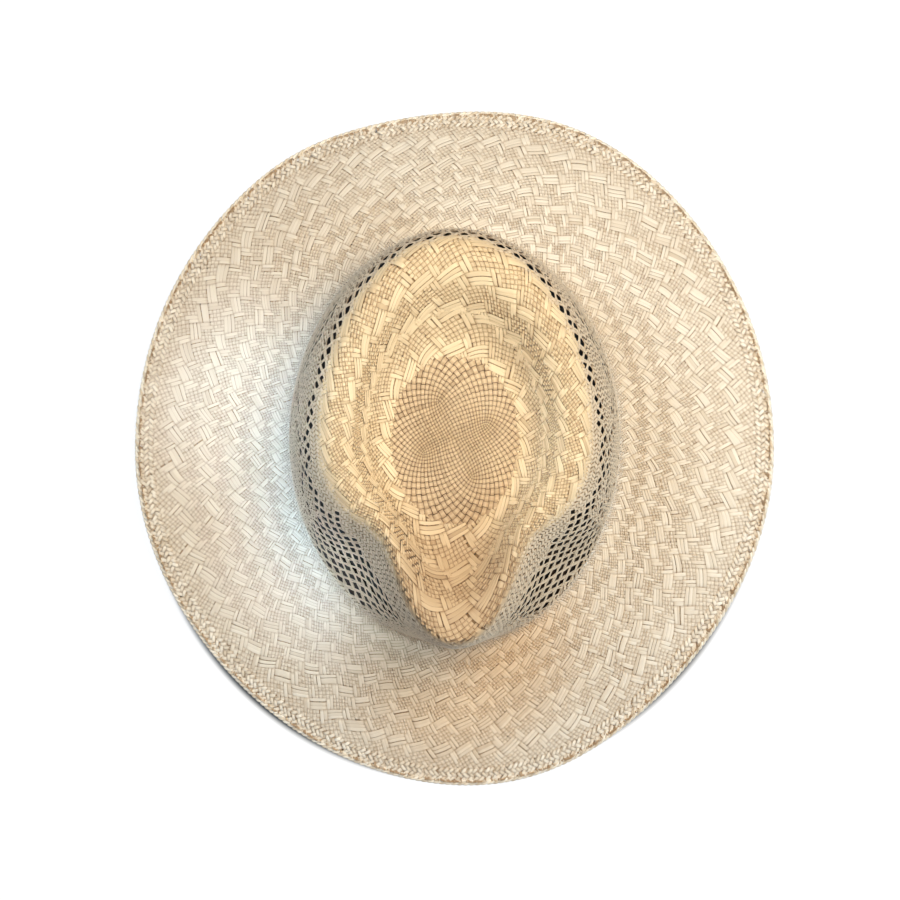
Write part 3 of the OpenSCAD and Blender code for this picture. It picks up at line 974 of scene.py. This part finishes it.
def leather_band(name):
    a = 360 * (np.arange(band_stations + 1) % band_stations) / band_stations
    places = np.linspace(2.0, wall_place(band_h), band_rows)
    soft = np.sin(np.linspace(0, np.pi, band_rows))
    ripple = sum(deep * np.sin(np.radians(a) * times + phase) for deep, times, phase in ripples)
    rows = [under(a, s, lining_depth - band_swell + band_swell * more + ripple * more)
            for s, more in zip(places, soft)]
    rows.append(under(a, places[-1] + band_fold, band_depth + band_t / 2))
    rows += [under(a, s, band_depth) for s in places[::-1]]
    spots = np.stack(rows, 1)
    along = np.arange(band_stations + 1) * band_step
    return ribbons(name, [band_stations + 1], spots, sweep_values(along, spots.shape[1]))


piece(leather_band("leather_band"), leather, "band_leather", "sweatband")

# %% [markdown]
# ## Reed and stitches
# A thin reed wound with thread stiffens the band's lower edge, and a row of long stitches holds the band.
# The reed is a closed tube and each stitch a short one whose ends dip into the leather.

# %% Reed and stitches
reed_d, reed_sides, reed_stations, reed_step = 2.2 * MM, 10, 384, 1.5 * MM
thread_d, stitch_l, stitch_sink, stitch_count = 0.6 * MM, 4 * MM, 0.1 * MM, 64
stitch_stations, stitch_sides = 7, 6


def tube(line, radius, sides, across, upward):
    """Rings of points round a line, in the plane of two directions."""
    turn = 2 * np.pi * np.arange(sides) / sides
    turn = turn[None, :, None]
    ring = np.cos(turn) * across[:, None, :] + np.sin(turn) * upward[:, None, :]
    return line[:, None, :] + np.broadcast_to(radius, len(line))[:, None, None] * ring


def wound_reed(name):
    count = reed_stations
    a = 360 * (np.arange(count + 1) % count) / count
    line = under(a, 2.0, band_depth + reed_d / 2) - np.array([0, 0, reed_d / 2 + seat_gap])
    out = np.stack([np.cos(np.radians(a)), np.sin(np.radians(a)), 0 * a], -1)
    spots = tube(line, reed_d / 2, reed_sides, out, np.tile([0.0, 0.0, 1.0], (count + 1, 1)))
    along = np.arange(count + 1) * reed_step
    return ribbons(name, [count + 1], spots, sweep_values(along, reed_sides))


def seam_stitches(name):
    steps, sides = stitch_stations, stitch_sides
    t = np.linspace(-1, 1, steps)
    spots = []
    for k in range(stitch_count):
        middle = 360 * (k + 0.5) / stitch_count
        out = outward(middle, wall_place(seam_up))
        reach = np.degrees(stitch_l / 2 / base_r(middle))
        lift = (thread_d / 2 + seat_gap) * (1 - t**2)
        line = under(middle + reach * t, wall_place(seam_up), lining_depth + lift - stitch_sink)
        side = np.cross(out, line[-1] - line[0])
        side = side / np.linalg.norm(side)
        thick = thread_d / 2 * np.where(np.abs(t) == 1, 0.0, 1.0)
        spots.append(tube(line, thick, sides, np.tile(out, (steps, 1)), np.tile(side, (steps, 1))))
    along = np.tile(t * stitch_l / 2, stitch_count)
    return ribbons(name, [steps] * stitch_count, np.concatenate(spots), sweep_values(along, sides))


piece(wound_reed("wound_reed"), thread, "thread", "sweatband_reed")
piece(seam_stitches("seam_stitches"), thread, "thread", "sweatband_stitches")

# %% [markdown]
# ## Join and bow
# The band's two ends meet at the back under a strip of tape, with a small ribbon bow on it. The tape is a
# patch of the wall with a face and a back. A ribbon has four columns, which make a thin rectangle, and its
# end closes where the two faces come together in one line.

# %% Join tape
join_w, join_t, tape_depth, back_a, tape_less = 12 * MM, 0.6 * MM, 3.5 * MM, 90, 0.06
tape_columns, tape_rows, tape_step = 6, 14, 2.4 * MM


def join_tape(name):
    low, high = wall_place(seam_up), wall_place(band_h)
    high = high + (low - high) * tape_less
    columns, rows = tape_columns, tape_rows
    half_a = np.degrees(np.arcsin(join_w / 2 / base_r(back_a)))
    s = np.linspace(low, high, rows)
    angles = np.linspace(back_a - half_a, back_a + half_a, columns)
    rim = np.where((np.arange(rows) == 0) | (np.arange(rows) == rows - 1), 0.5, 0.0) * join_t
    face = [under(a, s, tape_depth + join_t - rim) for a in angles]
    back = [under(a, s, tape_depth + rim) for a in angles[::-1]]
    spots = np.stack(face + back, 1)
    return ribbons(name, [rows], spots, sweep_values(np.arange(rows) * tape_step, 2 * columns))


piece(join_tape("join_tape"), leather, "band_leather", "sweatband_join")

# %% Ribbon bow
bow_loop, ribbon_w, ribbon_t, loop_d = 11 * MM, 4 * MM, 0.5 * MM, 3 * MM
tail_l, tail_spread, tail_wave, tail_apart, knot_share = 12 * MM, 22, 0.3 * MM, 0.3 * MM, 0.45
bow_depth, ribbon_step = 4.3 * MM, 0.8 * MM
loop_stations, tail_stations, tail_bends = 24, 9, 3


def flat_band(line, wide, thick):
    """Four points a station: a line, half a width to either side and a thickness."""
    return np.stack([line - wide - thick, line + wide - thick, line + wide + thick, line - wide + thick], 1)


def ribbon_bow(name):
    seat = under(back_a, wall_place(bow_up), bow_depth) - np.array([0, loop_d / 2, 0])
    x, y, z = np.eye(3)
    counts, spots, along = [], [], []
    turn = 2 * np.pi * (np.arange(loop_stations + 1) % loop_stations) / loop_stations
    cos, sin = np.cos(turn)[:, None], np.sin(turn)[:, None]
    reach, bulge = (bow_loop - ribbon_t) / 2, (loop_d - ribbon_t) / 2
    spread = np.radians(tail_spread)
    drop = np.linspace(0, 1, tail_stations)
    thin = np.where((drop == 0) | (drop == 1), 0.0, ribbon_t / 2)

    def add(line, wide, thick):
        counts.append(len(line))
        spots.append(flat_band(seat + line, np.tile(wide, (len(line), 1)), thick))
        along.append(np.arange(len(line)) * ribbon_step)

    for side in (-1, 1):
        loop = side * reach * (1 - cos) * x + bulge * sin * y
        add(loop, ribbon_w / 2 * z, ribbon_t / 2 * (-side * cos * x + sin * y))
        down = side * np.sin(spread) * x - np.cos(spread) * z
        tail = (tail_l * drop)[:, None] * down + (tail_wave * np.sin(tail_bends * np.pi * drop))[:, None] * y
        flat = ribbon_w / 2 * (np.cos(spread) * x + side * np.sin(spread) * z)
        add(tail + side * tail_apart * y, flat, thin[:, None] * y)
    knot = bulge * cos * y + ribbon_w / 2 * sin * z
    add(knot, knot_share * ribbon_w * x, ribbon_t / 2 * (cos * y + sin * z))
    spots = np.concatenate(spots)
    return ribbons(name, counts, spots, sweep_values(np.concatenate(along), spots.shape[1]))


piece(ribbon_bow("ribbon_bow"), ribbon, "ribbon", "sweatband_bow")

# %% [markdown]
# ## Floor
# A plain floor carries the hat and takes its shadow. Its own colour is grey, so that little light comes back
# up through the vents. To the camera, and to what mirrors it or lets it through, it glows white, but not
# under the hat: an oval of the brim's size is left out of the glow, so the vents look into shade.

# %% Floor
floor_half, floor_grey, floor_rough, floor_glow = 20.0, 0.13, 0.9, 0.93
glow_fade = (0.985, 1.01)

bm = bmesh.new()
bmesh.ops.create_grid(bm, x_segments=1, y_segments=1, size=floor_half)
floor_mesh = bpy.data.meshes.new("floor")
bm.to_mesh(floor_mesh)
bm.free()
floor = bpy.data.objects.new("floor", floor_mesh)
bpy.context.scene.collection.objects.link(floor)

white, tree, shader = new_material("floor_white")
sight = add_node(tree, "LightPath", {}).outputs
seen = maths(tree, "ADD", sight["Is Camera Ray"], sight["Is Glossy Ray"])
seen = maths(tree, "ADD", seen, sight["Is Transmission Ray"], clamp=True)
clear = soft_oval(tree, (0.0, 0.0, 0.0), (brim_w / 2, brim_l / 2, 1.0), glow_fade, (0.0, floor_glow))
feed(shader, {
    "Base Color": (floor_grey, floor_grey, floor_grey, 1.0),
    "Roughness": floor_rough,
    "Emission Color": (1.0, 1.0, 1.0, 1.0),
    "Emission Strength": maths(tree, "MULTIPLY", seen, clear),
})
floor_mesh.materials.append(white)
print("floor reaches", floor_half, "m each way")
